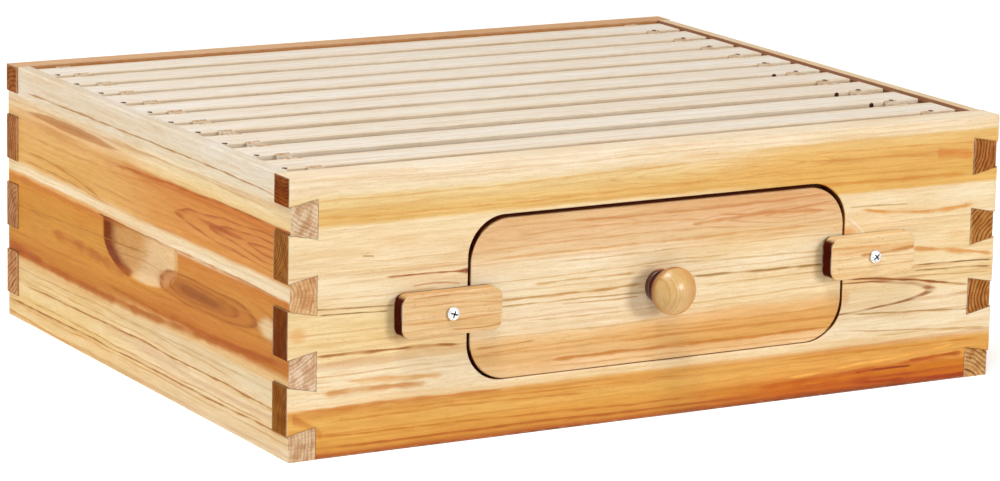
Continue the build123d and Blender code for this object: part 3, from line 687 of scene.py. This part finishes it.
hatchBoard = {
    "name": "oiledHatchBoard", "seed": 41.3,
    "axes": [("X", 1, 0), ("Z", 1, 0), ("Y", 1, hive["hatch"])],
    "wave": 0.6, "waveLength": 210.0, "ringGap": 4.6, "ringShare": 0.5, "ringTint": "D8A870",
    "bands": [(0, "EFD0A8"), (36, "EFCFA6"), (43, "EFCC9E"), (46, "E8C28C"), (53, "E6BC80"), (58, "ECC894"),
              (63, "F1DFC0"), (74, "F3E3CA"), (88, "F2E1C2"), (104, "F3E4CA"), (109, "F2DAB8"), (111.5, "EACDA6"),
              (122, "E8C69C"), (131, "E6C296"), (140, "E2B07A"), (170, "E2B07A")],
    "farBands": [(0, "F0D2A8"), (36, "F0D0A4"), (41, "EEC896"), (43.6, "DFAA60"), (48, "E1AE64"), (54, "E4B26C"),
                 (60, "EBC088"), (66, "F1DDB6"), (78, "F2E0BE"), (92, "F2E1C2"), (106, "F2DAB2"), (111.5, "E8CA9E"),
                 (124, "E4BC90"), (132, "E0B282"), (170, "DCA26C")],
    "farFrom": (-60.0, 60.0), "blush": 0.4,
    # painted shade on the hatch's edges in the gap round it
    "hollows": [(1.2, 2.6, -140, 145, 2.0, 30, 140, "8A2E14", 0.92)],
    "lines": [
        (-125, 20, 80.4, 80, 79.4, 1.1, "B4965A", 0.7), (-124, -6, 84, 84.2, 85, 1.6, "B48848", 0.7),
        (20, 138, 86.4, 85, 84.2, 1.6, "94703A", 0.8), (-90, -12, 92, 92.6, 92.4, 1.3, "C49C5E", 0.6),
        (-70, -10, 77.4, 77, 77.2, 1.0, "B48C50", 0.6), (30, 138, 79, 80, 79.4, 0.8, "C4A468", 0.6),
        (-130, 60, 95, 96.5, 98, 0.9, "CCAE78", 0.5), (-20, 130, 96, 94.6, 93, 0.9, "CCAE78", 0.5),
        (-100, 138, 70, 69, 71, 0.8, "C8A672", 0.45), (-131, 60, 62, 61, 63, 0.9, "D0AC78", 0.5),
        (-80, 136, 104, 104.6, 103, 0.8, "CBAB78", 0.45), (-131, 134, 109.8, 110.4, 110, 1.4, "D8A46C", 0.6),
        (20, 138, 118, 121, 117, 1.6, "CE9058", 0.65), (40, 134, 124, 122, 125, 1.3, "CA8A54", 0.6),
        (-100, 40, 122, 124, 121, 1.1, "D49C68", 0.5), (-130, 60, 115.6, 116.6, 115, 1.0, "D6A270", 0.5),
        (-70, 132, 129, 127.6, 130, 1.3, "C8864E", 0.5), (-128, -84, 56, 56.6, 57, 1.2, "C08A4C", 0.6),
        (-128, 60, 52, 54, 53, 1.1, "D09A58", 0.5), (-90, 138, 43.6, 44, 43.2, 2.0, "BE7A34", 0.75),
        (-30, 138, 50, 51, 49.6, 1.6, "CE8E44", 0.5), (-20, 138, 56.6, 56, 57, 1.1, "D09A58", 0.5),
        (-90, 136, 40, 39, 38, 0.9, "D4A270", 0.45),
    ],
    "figures": [
        (100, 119, 74, 8, 3.0, 0.6, "C88A56", 0.5, "DFB082", 0.15, None, 0, 0.4),
        (-70, 124, 60, 6, 2.0, 0.6, "D29C70", 0.35, "E2B68C", 0.1, None, 0, 0.5),
    ],
    "endBands": [(0, "7A3A1C"), (170, "7A3A1C")],
    "piths": [(85.0, 40.0)], "endGap": 3.0,
    "wear": 0.25, "wearTint": "EED4AC", "wearWidth": 1.2, "roughness": 0.42, "tilt": 0.3,
}

buttonWood = {
    "name": "buttonWood", "seed": 53.5,
    "wave": 0.4, "waveLength": 90.0, "ringGap": 3.6, "ringShare": 0.4, "ringTint": "D8AC74",
    "fibreTint": "EEDCC0", "pores": 0.6, "blush": 0.3,
    # the ends' very dark maroon is darker end grain together with painted shade
    "piths": [(80.0, 60.0)], "endGap": 2.4, "endBands": [(0, "4E1608"), (170, "561A0C")],
    "axes": [("X", 1, 0), ("Z", 1, 0), ("Y", 1, hive["button"])],
    "wearTint": "F2DEBE", "wearWidth": 1.1, "tilt": 0.5,
    "sawnFrom": 0.45, "sawnTo": 0.85,
}
leftButton = dict(buttonWood, name="buttonWoodLeft",
                  bands=[(0, "E8C99C"), (68, "E6C798"), (73, "E8CB9E"), (82, "EACDA2"), (90, "E6C596"),
                         (96, "E2BD8C"), (170, "DEB584")],
                  # painted contact shadow along the button's back edge
                  hollows=[(7.0, 9.2, -200, -100, 2.0, 60, 110, "42140A", 0.9)],
                  lines=[(-186, -112, 79, 78, 80, 1.0, "CC9C62", 0.6), (-180, -110, 88, 88.5, 86, 0.9, "C4935C", 0.5),
                         (-150, -112, 73, 72, 74, 1.0, "BE8848", 0.6), (-178, -130, 93, 93.6, 93, 0.8, "A87440", 0.6)])
rightButton = dict(buttonWood, name="buttonWoodRight", seed=57.5,
                   bands=[(0, "F0D4A6"), (76, "F0D4A6"), (83, "F1DAB2"), (90, "F1DAB2"),
                          (94, "EDCC9C"), (98, "F0D8AE"), (170, "EACB98")],
                   # painted contact shadow along the button's back edge
                   hollows=[(8.4, 9.6, 100, 200, 2.0, 60, 115, "4A1A0A", 0.85)],
                   lines=[(140, 192, 91, 92, 94.5, 2.0, "BC8240", 0.7), (112, 160, 97, 96.4, 95, 1.3, "DDA868", 0.6),
                          (120, 190, 84, 83, 84.6, 1.0, "D4AC74", 0.5)])

knobWood = {
    "name": "varnishedKnob", "seed": 61.0,
    "axes": [("Z", 1, 0), ("X", 0.94, 83), ("Y", 1, hive["reach"])],
    "wave": 0.5, "waveLength": 40.0, "ringGap": 3.2, "ringShare": 0.8, "ringTint": "C08840",
    "bands": [(0, "D4AA64"), (70, "D6AD6A"), (79, "DAB676"), (86, "D8B272"), (94, "D3A058"), (170, "D09C54")],
    # painted shade under the cap, darker on the neck and flange
    "hollows": [(8.0, 11.5, 40, 130, 2.0, 40, 120, "A05A1A", 0.8),
                (15.0, 19.0, 40, 130, 2.0, 40, 120, "4A1206", 0.95)],
    "piths": [(60.0, 50.0)], "endGap": 2.2, "endBands": [(0, "B8681E"), (170, "B8681E")], "endTint": "A86A30",
    "sawnFrom": 0.9, "sawnTo": 1.0, "roughness": 0.36, "coat": 0.9, "coatRoughness": 0.3, "bump": 0.12,
    "wear": 0.0, "tilt": 0.5, "pores": 0.3,
}

for board, name in ((hatchBoard, "hatch_board"), (leftButton, "toggle_left"), (rightButton, "toggle_right")):
    dress(woodMaterial(board, cornersOf(name)), name)
dress(woodMaterial(knobWood), "hatch_knob")
print("hatch finished")

# the ten frames

framePine = {
    "size": 30.0, "wave": 0.7, "waveLength": 140.0, "ringGap": 4.4, "ringShare": 0.4, "ringTint": "E4CDB0",
    "fibreTint": "EFE8DC", "cloudTint": "F4ECE0", "piths": [(15.0, 30.0)], "endGap": 2.6, "endShare": 0.5,
    "endTint": "B08258", "endBands": [(0, "E2CFB4"), (15, "DCC6A8"), (30, "E2CFB4")],
    "cloud": 0.3, "wear": 0.2, "wearWidth": 0.9, "roughness": 0.5, "pores": 0.3, "bump": 0.3,
}
pineTones = ["F0E8DC", "F1EAE0", "EEE5D8", "F1EADF", "EFE7DC", "F2ECE4", "F0E8DE", "F1EAE1", "EFE7DC", "F1E9DF"]
warmTones = ["EBDCC6", "E9D8C0", "ECDFCC"]
for number, tone in enumerate(pineTones, start=1):
    tag = f"{number:02d}"
    low, high = cornersOf(f"top_bar_{tag}")
    warm = warmTones[number % 3]
    bars = dict(framePine, name="framePineBar" + tag, seed=70.0 + 3.7 * number,
                axes=[("X", 1, 0), ("Y", 1, -low[1]), ("Z", -1, high[2])],
                bands=[(0, warm), (4 + number % 5, tone), (18 + number % 4, tone), (24, warm), (30, tone)],
                # painted shade on the bars' sides below the top face
                hollows=[(1.2, 6.0, -260, 260, 2.0, -2, 40, "BE9668", 0.7)],
                lines=[(-260, 260, 6 + number % 7, 8 + number % 5, 5 + number % 9, 0.9, "D8BE9E", 0.5),
                       (-260, 260, 20 - number % 6, 18 + number % 4, 21 - number % 5, 0.8, "DEC8AA", 0.5)])
    dress(woodMaterial(bars, (low, high)), f"top_bar_{tag}", f"bottom_bar_{tag}")
    low, high = cornersOf(f"end_bars_{tag}")
    uprights = dict(framePine, name="framePineUpright" + tag, seed=110.0 + 2.9 * number,
                    axes=[("Z", 1, 0), ("Y", 1, -low[1]), ("X", 1, 300)],
                    bands=[(0, tone), (9, warm), (20, tone), (30, warm)])
    dress(woodMaterial(uprights, (low, high)), f"end_bars_{tag}")
print("frames finished")


# Geometry Nodes trees that grow a piece

def startGrower(name, lengths):  # named lengths and one material
    tree = bpy.data.node_groups.new(name, "GeometryNodeTree")
    tree.interface.new_socket(name="Geometry", in_out="INPUT", socket_type="NodeSocketGeometry")
    for label, value in lengths:
        tree.interface.new_socket(name=label, in_out="INPUT", socket_type="NodeSocketFloat").default_value = value
    tree.interface.new_socket(name="Cover", in_out="INPUT", socket_type="NodeSocketMaterial")
    tree.interface.new_socket(name="Geometry", in_out="OUTPUT", socket_type="NodeSocketGeometry")
    return tree, put(tree, "NodeGroupInput").outputs, put(tree, "NodeGroupOutput").inputs


def finishGrower(tree, shape, given, result):
    real = chain("GeometryNodeRealizeInstances", (shape,))
    cover = feed(put(tree, "GeometryNodeSetMaterial"), Geometry=real.outputs[0], Material=given["Cover"])
    plug(result[0], cover[0])
    return tree


def growMesh(name, tree, points, values):  # runs a tree once and keeps the plain mesh
    seedMesh = bpy.data.meshes.new(name + "Seed")
    seedMesh.from_pydata(points, [], [])
    helper = link(name + "Helper", seedMesh)
    modifier = helper.modifiers.new("build", "NODES")
    modifier.node_group = tree
    for item in tree.interface.items_tree:
        if item.item_type == "SOCKET" and item.in_out == "INPUT" and item.name in values:
            modifier[item.identifier] = values[item.name]
    helper.update_tag()
    bpy.context.view_layer.update()
    grown = bpy.data.meshes.new_from_object(helper.evaluated_get(bpy.context.evaluated_depsgraph_get()))
    helper.modifiers.clear()
    bpy.data.objects.remove(helper)
    grown.name = name
    return grown


# the frames' nails, and dark discs as painted shade in the few holes in their bars

def makeNailTree():  # one flat head on each point, of slightly different sizes
    tree, given, result = startGrower("nailHeads", [("Radius", 0.0012), ("Depth", 0.0004), ("Tilt", 0.0)])
    head = feed(put(tree, "GeometryNodeMeshCylinder", fill_type="NGON"), Vertices=12, Radius=given["Radius"],
                Depth=given["Depth"])
    turn = chain("ShaderNodeCombineXYZ", (given["Tilt"],))
    own = put(tree, "FunctionNodeRandomValue", data_type="FLOAT")
    for at, value in ((2, 0.8), (3, 1.15), (8, 5)):  # least, most, seed
        plug(own.inputs[at], value)
    spread = feed(put(tree, "GeometryNodeInstanceOnPoints"), Points=given["Geometry"], Instance=head["Mesh"],
                  Rotation=turn.outputs[0], Scale=own.outputs[1])
    return finishGrower(tree, spread[0], given, result)


nailIron = {"name": "darkNail", "colour": "2E1A12", "rust": "5C3018", "radius": 0.0016, "depth": 0.0004,
            "fromEnd": 0.0186, "fromLeft": 0.0045, "fromFront": (0.0026, 0.0019), "proud": 0.00012,
            "shifts": (0.0, 0.0012, -0.0009, 0.0006)}
# barHole: a flat dark disc as painted shade inside each hole
barHole = {"name": "paintedHoleShade", "colour": "24100A", "rust": "4A2010", "radius": 0.0018, "frames": (2, 3, 5),
           "along": 0.2028, "underTop": 0.0019}
wallNail = {"radius": 0.0019, "along": -0.1965, "height": 0.164}


def ironAndHoleShadeMaterial(values):
    material, shader, place = startMaterial(values["name"])[:3]
    speck = speckle(place, 1.4, 3.0)
    colour = tint(ease(speck, 0.4, 0.65), paint(values["colour"]), paint(values["rust"]))
    feed(shader, BaseColor=colour, Roughness=timesPlus(speck, 0.3, 0.45), SpecularIORLevel=0.15)
    return material


def placeHeads(name, body, points, radius, tilt, cover):
    sizes = {"Radius": radius, "Depth": nailIron["depth"], "Tilt": tilt, "Cover": cover}
    piece = link(name, growMesh(name, nailTree, points, sizes))
    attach(piece, body)


nailTree = makeNailTree()
iron, hole = ironAndHoleShadeMaterial(nailIron), ironAndHoleShadeMaterial(barHole)
for number in range(1, 11):
    tag, body = f"{number:02d}", f"frame_{number:02d}"
    low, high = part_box(f"top_bar_{tag}")
    shift, level = nailIron["shifts"][number % 4], high.z - nailIron["proud"]
    heads = [(high.x - nailIron["fromEnd"] + shift, low.y + nailIron["fromFront"][0], level),
             (low.x + nailIron["fromLeft"] - shift, low.y + nailIron["fromFront"][1], level)]
    placeHeads(f"frameNails_{tag}", body, heads, nailIron["radius"], 0.0, iron)
    if number in barHole["frames"]:
        spot = (barHole["along"], low.y + 0.0001, high.z - barHole["underTop"])
        placeHeads(f"barHole_{tag}", body, [spot], barHole["radius"], math.pi / 2, hole)
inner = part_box("back_panel")[1].y - hive["backBoard"] / 1000
placeHeads("backBoardNail", "root", [(wallNail["along"], inner, wallNail["height"])],
           wallNail["radius"], math.pi / 2, iron)
print("nails in place")

# metal and the clear pane

# recess: the colour of the painted shade in the screws' cross recesses
screwMetal = {"name": "brightZincScrew", "colour": "F0F1F2", "shade": "B4B7BB", "roughness": 0.2, "recess": "0E0C0A"}
screwHeads = {"button": 4.1, "pane": 3.0}  # radius in mm


def metalMaterial(values, tag, faceY, spots, reach):  # spots: the screws' axes (x, z) in mm; reach: half a recess
    material, shader, place = startMaterial(values["name"] + tag)[:3]
    speck = speckle(place, 0.9, 4.0)
    colour = tint(ease(speck, 0.35, 0.7), paint(values["colour"]), paint(values["shade"]))
    away = None
    for x, z in spots:
        across, up = pick(place, ("X", 1, -x)), pick(place, ("Z", 1, -z))
        own = calc("SQRT", timesPlus(across, across, times(up, up)))
        away = own if away is None else calc("MINIMUM", away, own)
    sunk = calc("ABSOLUTE", pick(place, ("Y", 1, -faceY)))
    # painted shade: the cross recess is near black and not metal
    shadedRecess = times(ease(sunk, 0.3, 0.6), fade(away, reach, reach + 0.2))
    feed(shader, BaseColor=tint(shadedRecess, colour, paint(values["recess"])), Metallic=timesPlus(shadedRecess, -0.9, 1.0),
         Roughness=timesPlus(shadedRecess, 0.4, timesPlus(speck, 0.2, values["roughness"])))
    addBump(shader, speck, 0.15, 0.0001)
    return material


low, high = cornersOf("toggle_screws")
radius = screwHeads["button"]
spots = [(low[0] + radius, low[2] + radius), (high[0] - radius, high[2] - radius)]
dress(metalMaterial(screwMetal, "Buttons", low[1], spots, 2.5), "toggle_screws")
low, high = cornersOf("pane_screws")
radius = screwHeads["pane"]
spots = [(x, z) for x in (low[0] + radius, (low[0] + high[0]) / 2, high[0] - radius)
         for z in (low[2] + radius, high[2] - radius)]
dress(metalMaterial(screwMetal, "Pane", high[1], spots, 1.8), "pane_screws")
low, high = cornersOf("knob_screw")
spots = [((low[0] + high[0]) / 2, (low[2] + high[2]) / 2)]
dress(metalMaterial(screwMetal, "Knob", high[1], spots, 2.4), "knob_screw")

clearPane = {"name": "clearAcrylic", "colour": "F6FAFA", "smear": "EDF3F1", "roughness": 0.03, "hazeScale": 0.02}


def paneMaterial(values):
    material, shader, place = startMaterial(values["name"])[:3]
    smear = ease(speckle(place, values["hazeScale"], 6.0), 0.45, 0.75)
    feed(shader, BaseColor=tint(smear, paint(values["colour"]), paint(values["smear"])),
         Roughness=timesPlus(smear, 0.08, values["roughness"]), IOR=1.49, TransmissionWeight=1.0)
    return material


dress(paneMaterial(clearPane), "viewing_pane")
print("metal and pane finished")


# pressed wax sheets: rows of six-sided pits on both sides of a thin slab

def makeCombTree():
    tree, given, result = startGrower("pressedComb", [("Length", 0.43), ("Height", 0.12), ("Cell", 0.0054),
                                                      ("Slab", 0.0005), ("Pit Depth", 0.0007)])
    pit = feed(put(tree, "GeometryNodeMeshCone", fill_type="NONE"), Vertices=6, RadiusBottom=0.0,
               RadiusTop=over(given["Cell"], math.sqrt(3)), Depth=given["Pit Depth"])
    flip = chain("GeometryNodeFlipFaces", (pit["Mesh"],))
    join = put(tree, "GeometryNodeJoinGeometry")
    rowGap = times(given["Cell"], math.sqrt(3))
    columns = calc("FLOOR", over(given["Length"], given["Cell"]))
    rows = calc("FLOOR", over(given["Height"], rowGap))
    for shift in (0.0, 1.0):  # even rows, then odd rows half a cell on
        wide, count = minus(columns, shift), minus(rows, shift)
        grid = feed(put(tree, "GeometryNodeMeshGrid"), VerticesX=wide, VerticesY=count,
                    SizeX=times(minus(wide, 1.0), given["Cell"]), SizeY=times(minus(count, 1.0), rowGap))
        spread = feed(put(tree, "GeometryNodeInstanceOnPoints"), Points=grid["Mesh"], Instance=flip.outputs[0],
                      Rotation=(0.0, 0.0, math.radians(30)))
        plug(join.inputs[0], spread[0])
    real = chain("GeometryNodeRealizeInstances", (join.outputs[0],))
    weld = feed(put(tree, "GeometryNodeMergeByDistance"), Geometry=real.outputs[0], Distance=0.00005)
    sides = put(tree, "GeometryNodeJoinGeometry")
    for turn, way in ((0.0, 0.5), (math.pi, -0.5)):
        offset = feed(put(tree, "ShaderNodeCombineXYZ"), Z=times(given["Slab"], way))
        lift = feed(put(tree, "GeometryNodeTransform"), Geometry=weld[0], Translation=offset[0],
                    Rotation=(turn, 0.0, 0.0))
        plug(sides.inputs[0], lift[0])
    size = chain("ShaderNodeCombineXYZ", (given["Length"], given["Height"], given["Slab"]))
    slab = feed(put(tree, "GeometryNodeMeshCube"), Size=size.outputs[0])
    plug(sides.inputs[0], slab["Mesh"])
    stand = feed(put(tree, "GeometryNodeTransform"), Geometry=sides.outputs[0], Rotation=(math.pi / 2, 0.0, 0.0))
    return finishGrower(tree, stand[0], given, result)


waxSheet = {"name": "pressedBeeswax", "colour": "E2B04A", "deep": "C98E2C", "bloom": "F0D48C",
            "cell": 0.0054, "slab": 0.0006, "pitDepth": 0.0006}


def waxMaterial(values):
    material, shader, place = startMaterial(values["name"])[:3]
    bloom, fine = speckle(place, 0.05, 5.0), speckle(place, 1.1, 3.0)
    colour = tint(ease(bloom, 0.35, 0.65), paint(values["colour"]), paint(values["deep"]))
    colour = tint(times(ease(fine, 0.5, 0.75), 0.5), colour, paint(values["bloom"]))
    feed(shader, BaseColor=colour, Roughness=timesPlus(fine, 0.25, 0.35), SubsurfaceWeight=0.15,
         SubsurfaceRadius=(0.002, 0.0012, 0.0005))
    addBump(shader, fine, 0.2, 0.0002)
    return material


sheetLow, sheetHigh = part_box("foundation_01")
sheetMesh = growMesh("waxSheet", makeCombTree(), [(0.0, 0.0, 0.0)], {
    "Length": sheetHigh.x - sheetLow.x, "Height": sheetHigh.z - sheetLow.z, "Cell": waxSheet["cell"],
    "Slab": waxSheet["slab"], "Pit Depth": waxSheet["pitDepth"], "Cover": waxMaterial(waxSheet),
})
print("wax sheet has", len(sheetMesh.polygons), "faces")
for number in range(1, 11):
    name = f"foundation_{number:02d}"
    low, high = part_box(name)
    mesh = sheetMesh.copy()
    mesh.transform(Matrix.Translation((low + high) / 2))
    piece = link(f"waxSheet_{number:02d}", mesh)
    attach(piece, f"frame_{number:02d}")
    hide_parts(name)
print("wax sheets in place")

# floor, light and camera; metres and watts

floorLook = {"colour": "F4F2EE", "speck": "F0EEEA", "glow": 0.52, "whiteFrom": 1.3, "whiteTo": 3.2, "size": 8.0}


def makeFloor(values):
    half = values["size"] / 2
    mesh = bpy.data.meshes.new("studioFloor")
    mesh.from_pydata([(-half, -half, 0), (half, -half, 0), (half, half, 0), (-half, half, 0)], [], [(0, 1, 2, 3)])
    floor = link("studioFloor", mesh)
    material = bpy.data.materials.new("paleStudioFloor")
    material.use_nodes = True
    tree = material.node_tree
    tree.nodes.clear()
    output = put(tree, "ShaderNodeOutputMaterial")
    base, glow = put(tree, "ShaderNodeBsdfDiffuse"), put(tree, "ShaderNodeEmission")
    place = put(tree, "ShaderNodeTexCoord").outputs["Object"]
    colour = tint(speckle(place, 30.0), paint(values["colour"]), paint(values["speck"]))
    plug(base.inputs["Color"], colour)
    away = chain("ShaderNodeVectorMath", (place,), operation="LENGTH").outputs["Value"]
    strength = ease(away, values["whiteFrom"], values["whiteTo"], values["glow"], 1.0)  # pure white far away
    plug(glow.inputs["Strength"], times(seenRays(tree), strength))
    both = chain("ShaderNodeAddShader", (base.outputs[0], glow.outputs[0]))
    plug(output.inputs[0], both.outputs[0])
    mesh.materials.append(material)


makeFloor(floorLook)

studioLight = {
    "sky": 0.17,  # light from all round
    "key": {"place": (1.25, -2.95, 0.85), "size": 0.8, "power": 47.5},
    "side": {"place": (-2.7, 1.3, 1.5), "size": 1.0, "power": 57.0},
    "top": {"place": (-0.6, -0.9, 2.6), "size": 0.9, "power": 44.0},
    "aim": (0.0, 0.0, 0.08),
}


def makeWorld(strength):
    world = bpy.data.worlds.new("studio")
    scene.world = world
    world.use_nodes = True
    tree = world.node_tree
    tree.nodes.clear()
    output = put(tree, "ShaderNodeOutputWorld")
    lightPart, seenPart = put(tree, "ShaderNodeBackground"), put(tree, "ShaderNodeBackground")
    for part, wanted in ((lightPart, strength), (seenPart, 1.0)):
        feed(part, Color=white, Strength=wanted)
    mix = chain("ShaderNodeMixShader", (seenRays(tree), lightPart.outputs[0], seenPart.outputs[0]))
    plug(output.inputs[0], mix.outputs[0])


def makeLamp(name, values, aim):
    data = bpy.data.lights.new(name, "AREA")
    data.shape = "SQUARE"
    data.size = values["size"]
    data.energy = values["power"]
    lamp = link(name, data)
    lamp.location = values["place"]
    lamp.rotation_euler = (Vector(aim) - Vector(values["place"])).to_track_quat("-Z", "Y").to_euler()


makeWorld(studioLight["sky"])
for name in ("key", "side", "top"):
    makeLamp(name + "Lamp", studioLight[name], studioLight["aim"])

viewPoint = {  # angles in degrees, lengths in metres, lens and sensor in mm
    "turn": -29.921, "rise": 12.404, "roll": 1.278, "distance": 2.7239,
    "target": (0.007263, 0.0129, 0.068556), "lens": 150.13, "sensor": 36.0,
}


def makeCamera(values):
    turn, rise, roll = (math.radians(values[key]) for key in ("turn", "rise", "roll"))
    back = Vector((math.sin(turn) * math.cos(rise), -math.cos(turn) * math.cos(rise), math.sin(rise)))
    side = (-back).cross(Vector((0, 0, 1))).normalized()
    top = side.cross(-back)
    right = math.cos(roll) * side + math.sin(roll) * top
    up = -math.sin(roll) * side + math.cos(roll) * top
    data = bpy.data.cameras.new("photoCamera")
    data.lens = values["lens"]
    data.sensor_width = values["sensor"]
    data.sensor_fit = "HORIZONTAL"
    data.clip_end = 50.0
    camera = link("photoCamera", data)
    turnTo = Matrix((right, up, back)).transposed().to_4x4()
    camera.matrix_world = Matrix.Translation(Vector(values["target"]) + back * values["distance"]) @ turnTo
    scene.camera = camera


makeCamera(viewPoint)
scene.view_settings.view_transform = "Standard"
print("light and camera placed")
